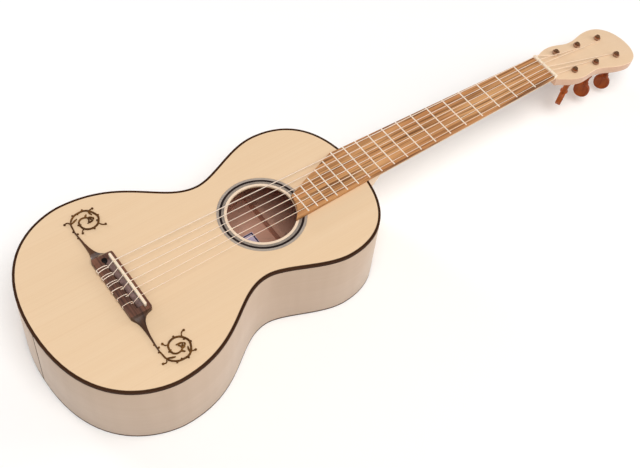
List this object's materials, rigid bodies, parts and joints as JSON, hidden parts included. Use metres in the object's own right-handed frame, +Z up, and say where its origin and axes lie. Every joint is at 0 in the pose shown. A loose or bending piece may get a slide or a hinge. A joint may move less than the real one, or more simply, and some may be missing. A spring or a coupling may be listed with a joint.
{
  "type": "romantic guitar",
  "caption": "Small-bodied romantic guitar with a round soundhole, friction pegs, a tied bridge with pointed wings and curled scroll ornaments, and a fingerboard cut on the slant.",
  "frame": {"origin": "on the back's outer face, on the centre line, midway along the body", "axes": "+X to the treble side, +Y along the neck to the head, +Z up through the soundboard"},
  "size_m": [0.2738, 0.9173, 0.1159],
  "materials": {
    "spruce": "satin oil varnish",
    "rosette": "satin inlay of cream, grey and black rings",
    "maple": "gloss varnish",
    "binding_wood": "gloss varnish",
    "inner_spruce": "bare planed wood",
    "label_paper": "matt paper",
    "fingerboard_wood": "oiled",
    "bone": "polished bone",
    "rosewood": "satin",
    "scroll_wood": "satin",
    "fret_metal": "polished nickel silver",
    "peg_wood": "polished",
    "wound_string": "fine silver-plated winding",
    "plain_string": "clear nylon"
  },
  "bodies": {
    "root": {"soundboard": "spruce", "rosette": "rosette", "back": "maple", "rib_bass": "maple", "rib_treble": "maple", "tail_graft": "binding_wood", "top_binding": "binding_wood", "back_binding": "binding_wood", "top_lining_bass": "inner_spruce", "top_lining_treble": "inner_spruce", "back_lining_bass": "inner_spruce", "back_lining_treble": "inner_spruce", "neck_block": "inner_spruce", "tail_block": "inner_spruce", "top_bar_1": "inner_spruce", "top_bar_2": "inner_spruce", "top_bar_3": "inner_spruce", "top_bar_4": "inner_spruce", "back_bar_1": "inner_spruce", "back_bar_2": "inner_spruce", "back_bar_3": "inner_spruce", "label": "label_paper", "neck": "maple", "fingerboard": "fingerboard_wood", "nut": "bone", "headstock": "maple", "bridge": "rosewood", "saddle": "bone", "scroll_bass": "scroll_wood", "scroll_treble": "scroll_wood", "fret_1": "fret_metal", "fret_2": "fret_metal", "fret_3": "fret_metal", "fret_4": "fret_metal", "fret_5": "fret_metal", "fret_6": "fret_metal", "fret_7": "fret_metal", "fret_8": "fret_metal", "fret_9": "fret_metal", "fret_10": "fret_metal", "fret_11": "fret_metal", "fret_12": "fret_metal", "fret_13": "fret_metal", "fret_14": "fret_metal", "fret_15": "fret_metal", "fret_16": "fret_metal", "fret_17": "fret_metal", "fret_18": "fret_metal", "string_1": "wound_string", "string_2": "wound_string", "string_3": "wound_string", "string_4": "plain_string", "string_5": "plain_string", "string_6": "plain_string"},
    "peg_1_body": {"peg_1": "peg_wood"},
    "peg_2_body": {"peg_2": "peg_wood"},
    "peg_3_body": {"peg_3": "peg_wood"},
    "peg_4_body": {"peg_4": "peg_wood"},
    "peg_5_body": {"peg_5": "peg_wood"},
    "peg_6_body": {"peg_6": "peg_wood"}
  },
  "joints": [
    {"name": "peg_1_turn", "type": "hinge", "parent": "root", "child": "peg_1_body", "pos_m": [-0.019, 0.57516, 0.08631], "axis": [0, 0.1908, 0.9816], "continuous": true},
    {"name": "peg_2_turn", "type": "hinge", "parent": "root", "child": "peg_2_body", "pos_m": [-0.019, 0.61835, 0.07791], "axis": [0, 0.1908, 0.9816], "continuous": true},
    {"name": "peg_3_turn", "type": "hinge", "parent": "root", "child": "peg_3_body", "pos_m": [-0.019, 0.66154, 0.06952], "axis": [0, 0.1908, 0.9816], "continuous": true},
    {"name": "peg_4_turn", "type": "hinge", "parent": "root", "child": "peg_4_body", "pos_m": [0.019, 0.66154, 0.06952], "axis": [0, 0.1908, 0.9816], "continuous": true},
    {"name": "peg_5_turn", "type": "hinge", "parent": "root", "child": "peg_5_body", "pos_m": [0.019, 0.61835, 0.07791], "axis": [0, 0.1908, 0.9816], "continuous": true},
    {"name": "peg_6_turn", "type": "hinge", "parent": "root", "child": "peg_6_body", "pos_m": [0.019, 0.57516, 0.08631], "axis": [0, 0.1908, 0.9816], "continuous": true}
  ]
}
